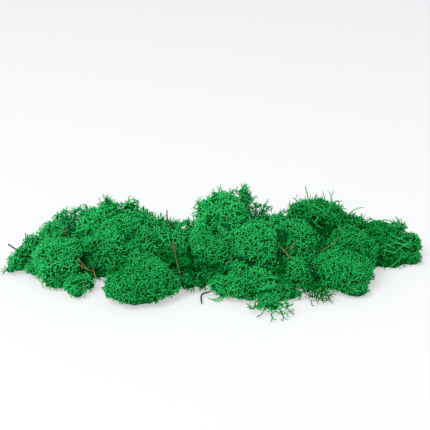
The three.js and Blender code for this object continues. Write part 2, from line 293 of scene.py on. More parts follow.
def strand_mesh(name, seed, length, thickness, steps, arch, droop, spurs, curl):
    """One long thin strand, three-sided, that rises from its root and bends over again, with a
    few short spurs on its sides."""
    draw = random.Random(seed)
    points, along, faces, rings = [], [], [], []
    heading = Vector((arch, draw.gauss(0, 0.1), 1)).normalized()
    place = Vector()
    for step in range(steps + 1):
        share = step / steps
        radius = thickness / 2 * (1 - STRAND_TAPER * share)
        side = heading.cross(Vector((0, 1, 0))).normalized()
        other = heading.cross(side)
        rings.append(len(points))
        for i in range(3):
            angle = 2 * math.pi * i / 3
            spoke = side * math.cos(angle) + other * math.sin(angle)
            points.append(place + spoke * radius)
            along.append(0.55 + 0.4 * share + draw.uniform(-ALONG_CHANCE, ALONG_CHANCE))
        place = place + heading * length / steps
        bend = Vector((-(2 * arch + droop) / steps, 0, 0))
        sway = Vector((draw.gauss(0, curl / 2), draw.gauss(0, curl), draw.gauss(0, curl / 4)))
        heading = (heading + bend + sway).normalized()
    faces.append((0, 1, 2))
    for first, second in zip(rings, rings[1:]):
        for i in range(3):
            j = (i + 1) % 3
            a, b, c, d = first + i, first + j, second + j, second + i
            if draw.random() < spurs:
                middle = (points[a] + points[b] + points[c]) / 3
                out = middle - (points[first] + points[first + 1] + points[first + 2]) / 3
                points.append(middle + out.normalized() * draw.uniform(*SPUR_LENGTH))
                along.append(0.95)
                spur = len(points) - 1
                faces.extend(((b, a, spur), (c, b, spur), (a, c, spur), (a, d, c)))
            else:
                faces.extend(((c, b, a), (d, c, a)))
    points.append(place)
    along.append(1.0)
    last = rings[-1]
    faces.extend((last + (i + 1) % 3, last + i, len(points) - 1) for i in range(3))
    return marked_mesh(name, points, faces, along, draw)


def growth_set(name, first_seed, shape, **sizes):
    """A collection of differently drawn shoots of one kind, for a tree to pick from. A drawing
    with too many faces for a shape that stands in the heap hundreds of times is passed over."""
    group = bpy.data.collections.new(name)
    seed = first_seed
    while len(group.objects) < SHOOT_KINDS:
        mesh = shape(f"{name}_{seed}", seed, **sizes)
        seed += 1
        if len(mesh.polygons) <= SHOOT_FACES:
            group.objects.link(bpy.data.objects.new(mesh.name, mesh))
    return group


short_shoots = growth_set("short_shoots", 100, shoot_mesh, lengths=(2.4 * MM, 2.0 * MM),
                          tip=0.6 * MM, spread=1.35, thickness=1.1 * MM, full=0.8)
coral_shoots = growth_set("coral_shoots", 200, shoot_mesh, lengths=(2.1 * MM, 1.8 * MM),
                          tip=0.4 * MM, spread=1.6, thickness=1.15 * MM, full=0.75)
tall_shoots = growth_set("tall_shoots", 300, shoot_mesh, lengths=(3.0 * MM, 2.5 * MM, 2.0 * MM),
                         tip=0.6 * MM, spread=1.25, thickness=1.0 * MM, full=0.35, early=0.2)
curls = growth_set("curls", 500, strand_mesh, length=11 * MM, thickness=1.0 * MM, steps=5,
                   arch=1.7, droop=0.3, spurs=0.12, curl=0.35)
strands = growth_set("strands", 400, strand_mesh, length=15 * MM, thickness=1.05 * MM, steps=5,
                     arch=0.3, droop=1.0, spurs=0.1, curl=0.07)
spike_shoots = growth_set("spike_shoots", 600, shoot_mesh,
                          lengths=(2.9 * MM, 2.4 * MM, 2.0 * MM), tip=0.9 * MM, spread=0.8,
                          thickness=1.0 * MM, full=0.25, early=0.3)
sprigs = growth_set("sprigs", 700, shoot_mesh, lengths=(3.5 * MM, 2.8 * MM, 2.1 * MM),
                    tip=1.1 * MM, spread=1.0, thickness=1.1 * MM, full=0.4, early=0.15)


def add_math(tree, operation, *values):
    return add_node(tree, "ShaderNodeMath", *values, operation=operation)


def is_less(tree, value, limit):
    return add_node(tree, "FunctionNodeCompare", value, limit, operation="LESS_THAN")


def either(tree, *answers):
    return add_node(tree, "FunctionNodeBooleanMath", *answers, operation="OR")


def both(tree, *answers):
    return add_node(tree, "FunctionNodeBooleanMath", *answers, operation="AND")


def add_input(tree, name, kind):
    tree.interface.new_socket(name, in_out="INPUT", socket_type="NodeSocket" + kind)


def named(tree, name, data_type="FLOAT"):
    return add_node(tree, "GeometryNodeInputNamedAttribute", name, data_type=data_type)[0]


def store(tree, geometry, name, value, domain="POINT", data_type="FLOAT"):
    return add_node(tree, "GeometryNodeStoreNamedAttribute", geometry, None, name, value,
                    domain=domain, data_type=data_type)


def colour_place(tree, geometry):
    """Writes where each corner finds its colour: across by shade, upward from root to tip."""
    drift = add_math(tree, "MULTIPLY", named(tree, "around"), ROUND_SHADE)
    shade = add_math(tree, "ADD", named(tree, "shade"), drift)
    across = map_range(tree, shade, *SHADE_RANGE, 0.005, 0.995)
    upward = map_range(tree, named(tree, "along"), 0, 1, 0.01, 0.99)
    place = add_node(tree, "ShaderNodeCombineXYZ", across, upward, 0.0)
    return store(tree, geometry, "OFBake", place, domain="CORNER", data_type="FLOAT2")


def grown_layer(tree, heart, covered, kind, given, seed, laid=False):
    """One layer of shoots on a heart: roots spread evenly but by chance, those that lie covered or
    face the table left out, and on each a shoot drawn by chance, stood up or, if laid, bent over."""
    position = add_node(tree, "GeometryNodeInputPosition")
    spacing = given[kind + " spacing"]
    density = add_math(tree, "DIVIDE", ROOT_DENSITY, add_math(tree, "POWER", spacing, 2.0))
    roots = add_node(tree, "GeometryNodeDistributePointsOnFaces", heart, None, spacing, density,
                     1.0, add_math(tree, "ADD", given["Number"], seed),
                     distribute_method="POISSON")
    hit, _, face, reach, _ = add_node(tree, "GeometryNodeRaycast", covered, None, position,
                                      roots[1], PROBE)
    inside = add_node(tree, "FunctionNodeCompare", add_vector(tree, "DOT_PRODUCT", face, roots[1]),
                      0.0, operation="GREATER_THAN")
    hidden = both(tree, either(tree, inside, is_less(tree, reach, COVER)), hit)
    upward = add_node(tree, "ShaderNodeSeparateXYZ", roots[1])[2]
    height = add_node(tree, "ShaderNodeSeparateXYZ", position)[2]
    under = both(tree, is_less(tree, upward, FACING_DOWN), is_less(tree, height, UNDERSIDE))
    left_out = either(tree, hidden, under)
    if laid:
        left_out = either(tree, left_out, is_less(tree, upward, TOO_STEEP))
    if kind == "Tall":
        patches = noise(tree, position, TUFT_WIDTH)
        left_out = either(tree, left_out, is_less(tree, patches, given["Bare"]))
    points = store(tree, roots[0], "out", roots[1], data_type="FLOAT_VECTOR")
    points = add_node(tree, "GeometryNodeDeleteGeometry", points, left_out, domain="POINT")

    out = named(tree, "out", "FLOAT_VECTOR")
    lean = add_node(tree, "FunctionNodeRandomValue", (-1, -1, -1), (1, 1, 1), None, seed,
                    data_type="FLOAT_VECTOR")
    if laid:
        along = add_vector(tree, "NORMALIZE", add_vector(tree, "CROSS_PRODUCT", out, lean))
        stand = add_node(tree, "FunctionNodeAlignRotationToVector", None, 1.0, along, axis="Z")
        stand = add_node(tree, "FunctionNodeAlignRotationToVector", stand, 1.0, out, axis="X",
                         pivot_axis="Z")
    else:
        toward = add_vector(tree, "ADD", out, add_vector(tree, "SCALE", lean, given["Lean"]))
        stand = add_node(tree, "FunctionNodeAlignRotationToVector", None, 1.0, toward, axis="Z")
        spin = add_node(tree, "FunctionNodeRandomValue", 0.0, 2 * math.pi, None, seed + 1)
        spin = add_node(tree, "FunctionNodeAxisAngleToRotation", (0, 0, 1), spin)
        stand = add_node(tree, "FunctionNodeRotateRotation", stand, spin, rotation_space="LOCAL")
    swell = map_range(tree, noise(tree, position, SWELL_WIDTH), *NOISE_RANGE, *SIZE_CHANCE)
    size = add_node(tree, "FunctionNodeRandomValue", *SIZE_CHANCE, None, seed + 2)
    size = add_math(tree, "MULTIPLY", size, swell)
    foot = map_range(tree, height, *FOOT_ZONE, given["Foot"], 1.0)
    size = add_math(tree, "MULTIPLY", size, foot)
    for mark, loss in (("seam", SEAM_SIZE), ("hollow", HOLLOW_SIZE), ("pressed", PRESSED_SIZE)):
        left = add_math(tree, "MULTIPLY_ADD", named(tree, mark), loss, 1.0)
        size = add_math(tree, "MULTIPLY", size, left)
    pieces = add_node(tree, "GeometryNodeCollectionInfo", given[kind + " shoots"], True, True)
    shoots = add_node(tree, "GeometryNodeInstanceOnPoints", points, None, pieces, True, None,
                      stand, size)
    lift = STRAND_SHADE if kind == "Strand" else 0
    chance = add_node(tree, "FunctionNodeRandomValue", lift - SHADE_CHANCE, lift + SHADE_CHANCE,
                      None, seed + 3)
    shade = add_math(tree, "ADD", mottled_tone_and_painted_shade(tree, given), chance)
    # The low growth is darkened by the painted depth shade, or lightened by it as painted light.
    if kind in ("Low", "Curl"):
        shade = add_math(tree, "SUBTRACT", shade, given["Gloom"])
    return store(tree, shoots, "shade", shade, domain="INSTANCE")


def push_out(tree, surface, distance):
    """Moves a surface outward, along its own normals."""
    normal = add_node(tree, "GeometryNodeInputNormal")[0]
    outward = add_vector(tree, "SCALE", normal, distance)
    return add_node(tree, "GeometryNodeSetPosition", surface, None, None, outward)


def closeness_to(tree, target, element, nearest, furthest):
    """1 where a point touches the target, falling to 0 at the furthest distance."""
    position = add_node(tree, "GeometryNodeInputPosition")
    distance = add_node(tree, "GeometryNodeProximity", target, None, position,
                        target_element=element)[1]
    return map_range(tree, distance, nearest, furthest, 1.0, 0.0)


def mottled_tone_and_painted_shade(tree, given):
    """The cushion's own shade, drifting a little lighter and darker over the width of a tuft, and
    darkened along its seams and in the hollows as painted shade.
    """
    position = add_node(tree, "GeometryNodeInputPosition")
    mottle = noise(tree, position, TUFT_WIDTH, 2.0)
    mottle = map_range(tree, mottle, *NOISE_RANGE, -MOTTLE_SHADE, MOTTLE_SHADE)
    shade = add_math(tree, "ADD", given["Shade"], mottle)
    # Seams and hollows darken the colour as painted shade.
    for mark, loss in (("seam", SEAM_PAINTED_SHADE), ("hollow", HOLLOW_PAINTED_SHADE)):
        shade = add_math(tree, "MULTIPLY_ADD", named(tree, mark), loss, shade)
    return shade


def cushion_tree():
    """The tree that turns one cushion's solid into its heart and shoots."""
    tree = bpy.data.node_groups.new("lichen_cushion", "GeometryNodeTree")
    for name, kind in (("Solid", "Geometry"), ("Heap", "Object"), ("Number", "Int"),
                       ("Hollows", "Object"), ("Strays", "Object"),
                       ("Low shoots", "Collection"), ("Low spacing", "Float"),
                       ("Tall shoots", "Collection"), ("Tall spacing", "Float"),
                       ("Curl shoots", "Collection"), ("Curl spacing", "Float"),
                       ("Strand shoots", "Collection"), ("Strand spacing", "Float"),
                       ("Depth", "Float"), ("Lean", "Float"), ("Shade", "Float"),
                       ("Seam", "Float"), ("Bare", "Float"), ("Heart", "Bool"),
                       ("Lumps", "Float"), ("Gloom", "Float"), ("Smoothing", "Int"),
                       ("Foot", "Float"), ("Finish", "Material")):
        add_input(tree, name, kind)
    tree.interface.new_socket("Moss", in_out="OUTPUT", socket_type="NodeSocketGeometry")
    given = tree.nodes.new("NodeGroupInput").outputs
    position = add_node(tree, "GeometryNodeInputPosition")

    volume = add_node(tree, "GeometryNodeMeshToVolume", given["Solid"], 1.0, VOXEL, SKIN_BAND,
                      resolution_mode="VOXEL_SIZE")
    heart = add_node(tree, "GeometryNodeVolumeToMesh", volume, VOXEL, SKIN_LEVEL, 0.0,
                     resolution_mode="VOXEL_SIZE")
    heart = push_out(tree, heart, add_math(tree, "SUBTRACT", SKIN_GROWTH, given["Depth"]))
    smooth = add_node(tree, "GeometryNodeBlurAttribute", position, given["Smoothing"],
                      data_type="FLOAT_VECTOR")
    heart = add_node(tree, "GeometryNodeSetPosition", heart, None, smooth)
    height = map_range(tree, noise(tree, position, LUMP_WIDTH, 2.0), 0.25, 0.75, -1.0, 1.0)
    heart = push_out(tree, heart, add_math(tree, "MULTIPLY", height, given["Lumps"]))

    others = add_node(tree, "GeometryNodeObjectInfo", given["Heap"])[4]
    own = add_node(tree, "FunctionNodeCompare", named(tree, "cushion", "INT"), given["Number"],
                   operation="EQUAL", data_type="INT")
    others = add_node(tree, "GeometryNodeDeleteGeometry", others, own, domain="FACE")
    hollows = add_node(tree, "GeometryNodeObjectInfo", given["Hollows"])[4]
    strays = add_node(tree, "GeometryNodeObjectInfo", given["Strays"])[4]
    seam = closeness_to(tree, others, "FACES", 0.0, SEAM_REACH)
    heart = store(tree, heart, "seam", add_math(tree, "MULTIPLY", seam, given["Seam"]))
    heart = store(tree, heart, "hollow",
                  closeness_to(tree, hollows, "POINTS", HOLLOW_FULL * HOLLOW_REACH, HOLLOW_REACH))
    heart = store(tree, heart, "pressed",
                  closeness_to(tree, strays, "FACES", PRESS_FULL * PRESS_REACH, PRESS_REACH))
    heart = push_out(tree, heart, add_math(tree, "MULTIPLY", named(tree, "hollow"), -HOLLOW_DEPTH))
    moss = tree.nodes.new("GeometryNodeJoinGeometry")
    for kind, seed in LAYER_SEEDS.items():
        laid = kind in ("Curl", "Strand")
        layer = grown_layer(tree, heart, others, kind, given, seed, laid)
        tree.links.new(add_node(tree, "GeometryNodeRealizeInstances", layer), moss.inputs[0])
    # The heart is darkened by the same painted depth shade.
    shade = add_math(tree, "SUBTRACT", mottled_tone_and_painted_shade(tree, given), given["Gloom"])
    heart = store(tree, heart, "shade", shade)
    # The heart's colour lies at the bottom of the ramp: painted shade standing in for the depth of the
    # tangle.
    deep = add_node(tree, "FunctionNodeRandomValue", 0.0, HEART_SHADE_HEIGHT)
    heart = store(tree, heart, "along", deep)
    heart = store(tree, heart, "around",
                  add_node(tree, "FunctionNodeRandomValue", 0.0, 1.0, None, 5))
    heart = add_node(tree, "GeometryNodeSwitch", given["Heart"], None, heart,
                     input_type="GEOMETRY")
    tree.links.new(heart, moss.inputs[0])
    moss = moss.outputs[0]
    x, y, z = add_node(tree, "ShaderNodeSeparateXYZ", position)
    z = add_math(tree, "MAXIMUM", z, FLOOR_CLEARANCE)
    level = add_node(tree, "ShaderNodeCombineXYZ", x, y, z)
    moss = add_node(tree, "GeometryNodeSetPosition", moss, None, level)
    moss = add_node(tree, "GeometryNodeSetShadeSmooth", moss)
    moss = colour_place(tree, moss)
    moss = add_node(tree, "GeometryNodeSetMaterial", moss, None, given["Finish"])
    tree.links.new(moss, tree.nodes.new("NodeGroupOutput").inputs[0])
    return tree


def grain_group():
    """Fine streaks and specks along a plant. They lighten and darken its colour by the contrast,
    and change how rough it is. Counts says how many lie across and along a piece."""
    group = bpy.data.node_groups.new("plant_grain", "ShaderNodeTree")
    for name, kind in (("Colour", "Color"), ("Place", "Vector"), ("Counts", "Vector"),
                       ("Detail", "Float"), ("Contrast", "Float"), ("Smoothest", "Float"),
                       ("Roughest", "Float")):
        add_input(group, name, kind)
    group.interface.new_socket("Colour", in_out="OUTPUT", socket_type="NodeSocketColor")
    group.interface.new_socket("Roughness", in_out="OUTPUT", socket_type="NodeSocketFloat")
    given = group.nodes.new("NodeGroupInput").outputs
    place = add_vector(group, "MULTIPLY", given["Place"], given["Counts"])
    grain = noise(group, place, 1.0, given["Detail"])
    darkest = add_math(group, "SUBTRACT", 1.0, given["Contrast"])
    lightest = add_math(group, "ADD", 1.0, given["Contrast"])
    tone = map_range(group, grain, *NOISE_RANGE, darkest, lightest)
    colour = add_vector(group, "SCALE", given["Colour"], tone)
    rough = map_range(group, grain, *NOISE_RANGE, given["Smoothest"], given["Roughest"])
    put_out = group.nodes.new("NodeGroupOutput").inputs
    group.links.new(colour, put_out["Colour"])
    group.links.new(rough, put_out["Roughness"])
    return group


def add_grain(tree, shader, colour, place, *grain):
    """Lays the plants' grain over a colour and joins both to the shader."""
    colour, rough = add_node(tree, "ShaderNodeGroup", colour, place, *grain, node_tree=plant_grain)
    tree.links.new(colour, shader.inputs["Base Color"])
    tree.links.new(rough, shader.inputs["Roughness"])


def colour_ramp(tree, place, colours, stops):
    """The colour at a place from 0 to 1, run from one stop's colour to the next one's."""
    ramp = tree.nodes.new("ShaderNodeValToRGB")
    tree.links.new(place, ramp.inputs["Fac"])
    while len(ramp.color_ramp.elements) < len(stops):
        ramp.color_ramp.elements.new(0.5)
    for element, stop, colour in zip(ramp.color_ramp.elements, stops, colours):
        element.position = stop
        element.color = (*colour, 1)
    return ramp.outputs["Color"]


def moss_finish():
    """Dyed lichen: darker toward the depth as painted shade, clear green on the branches and paler at
    the tips.
    """
    finish, tree, shader = new_finish("dyed_lichen")
    place = add_node(tree, "ShaderNodeUVMap", uv_map="OFBake")
    shade, height, _ = add_node(tree, "ShaderNodeSeparateXYZ", place)
    dark = colour_ramp(tree, height, DARK_DYE_AND_SHADE, DYE_STOPS)
    light = colour_ramp(tree, height, LIGHT_DYE_AND_DEPTH_SHADE, DYE_STOPS)
    colour = add_node(tree, "ShaderNodeMix", shade, dark, light, data_type="RGBA")
    add_grain(tree, shader, colour, place, *MOSS_GRAIN)
    shader.inputs["Specular IOR Level"].default_value = 0.03
    return finish


cushions = sorted(name for name in frame["nodes"] if name.startswith("cushion_"))
plant_grain = grain_group()
moss_material = moss_finish()
moss_maker = cushion_tree()

# All the solids in one mesh, each face with its cushion's number, to find what lies covered.
heap_points, heap_faces, heap_numbers = [], [], []
for number, name in enumerate(cushions):
    mesh = frame["nodes"][name].data
    start = len(heap_points)
    heap_points.extend(vertex.co[:] for vertex in mesh.vertices)
    heap_faces.extend([start + i for i in face.vertices] for face in mesh.polygons)
    heap_numbers.extend([number] * len(mesh.polygons))
heap_mesh = bpy.data.meshes.new("whole_heap")
heap_mesh.from_pydata(heap_points, [], heap_faces)
heap_mesh.attributes.new("cushion", "INT", "FACE").data.foreach_set("value", heap_numbers)
heap = bpy.data.objects.new("whole_heap", heap_mesh)
bpy.context.scene.collection.objects.link(heap)

# The hollows between the cushions, in millimetres, where they lie apart and little light comes in.
# Round each the heart sinks, the shoots shrink and the colour is darkened as painted shade.
HOLLOWS = (
    (96, 13, 41), (90, 12, 38), (92, 16, 42), (88, 17, 44), (99, 17, 43), (95, 12, 38),
    (97, 9, 39), (93, 10, 40), (-46, -14, 27), (-37, -20, 24), (-25, -22, 20), (-44, -3, 30),
    (-30, -8, 31), (-14, -22, 24), (-5, -27, 22), (-121, -11, 22), (-98, -30, 17),
    (-96, -33, 22), (-110, -14, 13), (-106, -24, 14), (-97, -30, 31), (-89, -42, 32),
    (-84, -40, 34), (-107, -12, 10), (-101, -28, 8), (-115, -10, 33), (-81, -6, 43),
    (-97, -37, 23), (-91, -31, 30), (-84, -26, 34), (-3, 1, 47), (27, -21, 25), (58, 0, 41),
    (54, -9, 29), (56, -22, 27), (54, -30, 21), (82, -24, 22), (85, -30, 13), (74, -25, 4),
    (5, -31, 24))
hollow_mesh = bpy.data.meshes.new("hollow_points")
hollow_mesh.from_pydata([Vector(point) * MM for point in HOLLOWS], [], [])
hollows = bpy.data.objects.new("hollow_points", hollow_mesh)
bpy.context.scene.collection.objects.link(hollows)

# The middle parts of the needles, twigs and stalks, which press the moss under them flat.
PRESSING_SHARE = 0.35
stray_points, stray_faces = [], []
for name, node in frame["nodes"].items():
    if name not in cushions:
        start = len(stray_points)
        low, high = (Vector(corner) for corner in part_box(node.name))
        reach = (high - low).length * PRESSING_SHARE
        stray_points.extend(vertex.co[:] for vertex in node.data.vertices)
        stray_faces.extend([start + i for i in face.vertices] for face in node.data.polygons
                           if (face.center - (low + high) / 2).length < reach)
stray_mesh = bpy.data.meshes.new("stray_pieces")
stray_mesh.from_pydata(stray_points, [], stray_faces)
strays = bpy.data.objects.new("stray_pieces", stray_mesh)
bpy.context.scene.collection.objects.link(strays)

# How each kind of cushion grew. A spacing says how close a layer's shoots stand, and NONE leaves the
# layer out. Depth is how far the heart lies inside its solid, and Lumps how high it swells. Lean is
# how far the shoots lean by chance, Bare how much of the cushion has no tall ones, and Foot the size
# of the shoots close to the table. The painted depth shade darkens the low growth and the heart as
# painted shade, or lightens them as painted light where it is below 0.
NONE = 500 * MM
PLAIN = {
    "Low shoots": short_shoots, "Tall shoots": tall_shoots, "Curl shoots": curls,
    "Strand shoots": strands, "Tall spacing": NONE, "Strand spacing": NONE, "Depth": 0.0,
    "Lean": 0.6, "Bare": 0.47, "Heart": True, "Lumps": 2 * MM, "Gloom": 0.0, "Foot": 0.6,
}
STYLES = {
    "dense": {"Low spacing": 1.9 * MM, "Curl spacing": 2.4 * MM, "Tall spacing": 7 * MM},
    "low_end": {"Low spacing": 1.9 * MM, "Curl spacing": 2.4 * MM, "Depth": 2.5 * MM},
    "coral": {"Low spacing": 1.65 * MM, "Curl spacing": 2.1 * MM, "Low shoots": coral_shoots,
              "Lumps": 1.5 * MM},
    "lobe": {"Low spacing": 1.65 * MM, "Curl spacing": NONE, "Low shoots": coral_shoots,
             "Depth": 2 * MM, "Lumps": 1 * MM},
    "airy": {"Low spacing": 2.3 * MM, "Curl spacing": 3.6 * MM, "Tall spacing": 2.2 * MM,
             "Bare": 0.42, "Depth": 2.5 * MM, "Lumps": 3.5 * MM, "Gloom": -0.25},
    "bright": {"Low spacing": 2.3 * MM, "Curl spacing": 3.6 * MM, "Tall spacing": 2.2 * MM,
               "Bare": 0.42, "Depth": 2.5 * MM, "Lumps": 3.5 * MM, "Gloom": -0.7},
    "open": {"Low spacing": 2.6 * MM, "Curl spacing": 3.2 * MM, "Tall spacing": 2.5 * MM,
             "Bare": 0.25, "Depth": 3 * MM, "Lumps": 3.5 * MM, "Gloom": 0.6},
    "spray": {"Low spacing": 2.0 * MM, "Curl spacing": 3.5 * MM, "Tall spacing": 1.9 * MM,
              "Bare": 0.0, "Depth": SKIN_GROWTH, "Lean": 0.7, "Lumps": 0.5 * MM, "Gloom": -0.3},
    "net": {"Low spacing": 2.6 * MM, "Curl spacing": 2.8 * MM, "Tall spacing": 2.2 * MM,
            "Bare": 0.0, "Lean": 1.0, "Depth": SKIN_GROWTH, "Heart": False},
    "sprigs": {"Low spacing": 1.8 * MM, "Curl spacing": NONE, "Tall spacing": 2.2 * MM,
               "Tall shoots": sprigs, "Bare": 0.0, "Depth": 4.5 * MM, "Gloom": -0.5,
               "Foot": 1.0},
    "loose_sprigs": {"Low spacing": NONE, "Curl spacing": NONE, "Tall spacing": 1.8 * MM,
                     "Tall shoots": sprigs, "Bare": 0.0, "Depth": SKIN_GROWTH,
                     "Heart": False, "Foot": 1.0},
    "stringy_low": {"Low spacing": 2.0 * MM, "Curl spacing": 3.0 * MM,
                    "Strand spacing": 4.0 * MM, "Lumps": 3 * MM, "Gloom": 0.45},
    "stringy": {"Low spacing": 2.1 * MM, "Curl spacing": 4.2 * MM, "Tall spacing": 3.2 * MM,
                "Strand spacing": 4.2 * MM, "Tall shoots": spike_shoots, "Bare": 0.35,
                "Lumps": 3 * MM, "Gloom": 0.45},
}

# Each cushion's kind, its shade and, where it isn't 1, how far its shoots shrink and its colour
# darkens as painted shade along the seams.
LOOKS = {
    "cushion_far_left": ("airy", 0.7), "cushion_left_slope": ("airy", 0.9),
    "cushion_left_peak": ("bright", 0.95), "cushion_left_shoulder": ("airy", 0.8),
    "cushion_left_middle": ("dense", 0.85), "cushion_left_lobe": ("lobe", 0.95),
    "cushion_left_lap": ("dense", 0.45), "cushion_left_inner": ("dense", 0.65, 0.6),
    "cushion_front_left": ("coral", 0.27, 0.5), "cushion_saddle": ("airy", 0.95),
    "cushion_saddle_back": ("airy", 0.6), "cushion_centre_foot": ("open", 0.35),
    "cushion_centre_left": ("dense", 0.5), "cushion_peak": ("bright", 1.5),
    "cushion_peak_knob": ("spray", 0.9, 0.1), "cushion_back_foot": ("dense", 0.45),
    "cushion_back_ridge": ("airy", 0.6), "cushion_centre": ("dense", 0.75),
    "cushion_front_centre": ("dense", 0.5), "cushion_front_tail": ("sprigs", 0.5),
    "cushion_front_round": ("coral", 0.15), "cushion_right_inner": ("dense", 0.45),
    "cushion_right_peak": ("stringy", 0.25), "cushion_right_middle": ("dense", 0.12),
    "cushion_right_front": ("coral", 0.35), "cushion_right_arm": ("stringy_low", 0.12),
    "cushion_far_right": ("low_end", 0.3),
}


def grow_piece(name, start, tree, values):
    """A piece grown from its first mesh by a tree, as a plain mesh that rides with the heap."""
    piece = bpy.data.objects.new(name, start)
    bpy.context.scene.collection.objects.link(piece)
    modifier = piece.modifiers.new("growth", "NODES")
    modifier.node_group = tree
    for item in tree.interface.items_tree:
        if item.name in values:
            modifier[item.identifier] = values[item.name]
    evaluated = piece.evaluated_get(bpy.context.evaluated_depsgraph_get())
    finished = bpy.data.meshes.new_from_object(evaluated)
    piece.modifiers.remove(modifier)
    piece.data = finished
    for mark in OWN_MARKS:
        if mark in finished.attributes:
            finished.attributes.remove(finished.attributes[mark])
    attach(piece, "root")
    return piece


def grow_moss(name, solid, number, style, shade, seam=1.0, smoothing=5):
    """A cushion or tuft of lichen grown on a solid."""
    values = {**PLAIN, **STYLES[style], "Heap": heap, "Hollows": hollows, "Strays": strays,
              "Number": number, "Shade": shade, "Seam": seam, "Smoothing": smoothing,
              "Finish": moss_material}
    return grow_piece("lichen_" + name, solid, moss_maker, values)


for number, name in enumerate(cushions):
    solid = frame["nodes"][name].data.copy()
    solid.materials.clear()
    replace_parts(grow_moss(name, solid, number, *LOOKS[name]), name)

# Small tufts of lichen.
# Bits that broke from the cushions were caught again between them and along the crests. Each is the
# same lichen, most with a small heart, and holds on to the cushions that it is pressed against.
# Each has its centre and half-widths in millimetres, its kind and its shade.
TUFT_NUMBER = 100
TUFT_SEAM = 0.2
TUFT_SMOOTHING = 1
TUFTS = {
    "left_end": ((-192, 10, 5), (5, 4, 3), "spray", 0.7),
    "far_left": ((-181, 19, 17), (7, 5, 5), "spray", 0.7),
    "left_fill": ((-171, 25, 22), (8, 6, 5), "airy", 0.8),
    "left_gap": ((-163, 22, 18), (7, 7, 7), "dense", 0.6),
    "left_gap_foot": ((-166, 6, 8), (6, 7, 5), "dense", 0.5),
    "left_net": ((-156, 33, 35), (8, 6, 6), "net", 0.9),
    "left_slope": ((-143, 38, 45), (8, 5, 4), "net", 0.9),
    "left_crest": ((-127, 38, 49), (7, 5, 4), "net", 0.9),
    "left_point": ((-104, 40, 59), (5, 3, 3), "spray", 0.9),
    "crest_net": ((-93, 40, 54), (8, 5, 3), "net", 0.9),
    "shoulder_point": ((-82, 38, 56), (5, 4, 4), "spray", 0.8),
    "saddle_crest": ((-54, 30, 42), (7, 5, 4), "spray", 0.7),
    "saddle_net": ((-30, 32, 38), (9, 5, 5), "net", 0.7),
    "peak_left": ((-15, 28, 60), (5, 5, 5), "spray", 1.4),
    "peak_crest": ((2, 27, 71), (10, 5, 3), "net", 1.4),
    "peak_front": ((-4, 8, 58), (7, 5, 5), "bright", 1.5),
    "peak_right": ((17, 12, 60), (6, 5, 6), "bright", 1.4),
    "peak_net": ((14, 25, 72), (7, 4, 4), "net", 0.95),
    "peak_point": ((22, 25, 76), (5, 4, 3), "spray", 0.9),
    "peak_slope": ((37, 34, 55), (7, 5, 4), "net", 0.6),
    "ridge_net": ((60, 46, 45), (7, 5, 3), "net", 0.45),
    "right_peak_net": ((76, 44, 52), (7, 5, 4), "net", 0.35),
    "right_notch": ((126, 44, 33), (8, 7, 6), "stringy", 0.35),
    "arm_top": ((168, 48, 29), (8, 6, 3), "spray", 0.35),
    "arm_foot": ((158, 29, 5), (19, 6, 3), "stringy_low", 0.1),
    "right_end_foot": ((178, 36, 5), (10, 8, 4), "dense", 0.1),
    "middle_foot": ((-143, -19, 6), (14, 5, 3), "dense", 0.5),
    "lobe_side": ((-128, -29, 6), (7, 7, 4), "coral", 0.8),
    "lobe_foot": ((-124, -37, 5), (5, 5, 2), "coral", 0.8),
    "lap_seam": ((-121, -7, 9), (6, 9, 6), "open", -0.1),
    "lobe_seam": ((-117, -23, 5), (6, 6, 4), "open", 0.0),
    "foot_seam": ((-18, -8, 14), (8, 8, 8), "open", -0.5),
    "inner_seam": ((-58, -9, 11), (8, 8, 8), "open", 0.1),
    "ball_seam": ((-47, -21, 8), (9, 8, 6), "open", 0.1),
    "round_seam": ((48, -27, 9), (6, 9, 7), "open", 0.2),
    "right_seam": ((87, -20, 10), (6, 8, 8), "open", 0.0),
    "front_lobe": ((-45, -36, 10), (6, 8, 7), "coral", 0.55),
    "gap_left": ((-28, -28, 9), (9, 7, 6), "open", 0.4),
    "gap_right": ((-15, -26, 9), (10, 6, 6), "open", 0.4),
    "gap_foot": ((-12, -33, 5), (9, 5, 2), "net", 0.6),
    "round_gap": ((82, -29, 8), (7, 6, 6), "open", -0.1),
    "round_foot": ((83, -37, 4), (13, 8, 3), "loose_sprigs", -0.75),
    "round_end": ((88, -46, 3), (11, 6, 2), "loose_sprigs", -0.75),
    "right_foot": ((118, -34, 6), (12, 5, 3), "coral", 0.4),
    "tail_root": ((41, -53, 9), (10, 8, 5), "spray", 0.6),
    "round_left": ((57, -41, 5), (13, 5, 3), "coral", 0.3),
    "tail_left": ((36, -68, 4), (7, 6, 3), "loose_sprigs", 0.5),
    "tail_end": ((52, -69, 4), (10, 7, 3), "loose_sprigs", 0.5),
    "tail_loose": ((45, -69, 5), (14, 8, 4), "loose_sprigs", 0.55),
}
for number, (name, (place, radii, style, shade)) in enumerate(TUFTS.items(), TUFT_NUMBER):
    ball = bmesh.new()
    bmesh.ops.create_icosphere(ball, subdivisions=3, radius=1)
    for vertex in ball.verts:
        vertex.co = [a * MM + (b * MM + SKIN_BAND * SKIN_LEVEL) * c
                     for a, b, c in zip(place, radii, vertex.co)]
    solid = bpy.data.meshes.new("tuft_solid")
    ball.to_mesh(solid)
    ball.free()
    grow_moss("tuft_" + name, solid, number, style, shade, TUFT_SEAM, TUFT_SMOOTHING)

# What the cushions and tufts were grown with isn't part of the heap.
for helper in (heap, hollows, strays):
    bpy.data.objects.remove(helper)
for group in (short_shoots, coral_shoots, tall_shoots, spike_shoots, sprigs, curls, strands):
    for shoot in list(group.objects):
        bpy.data.objects.remove(shoot)
    bpy.data.collections.remove(group)

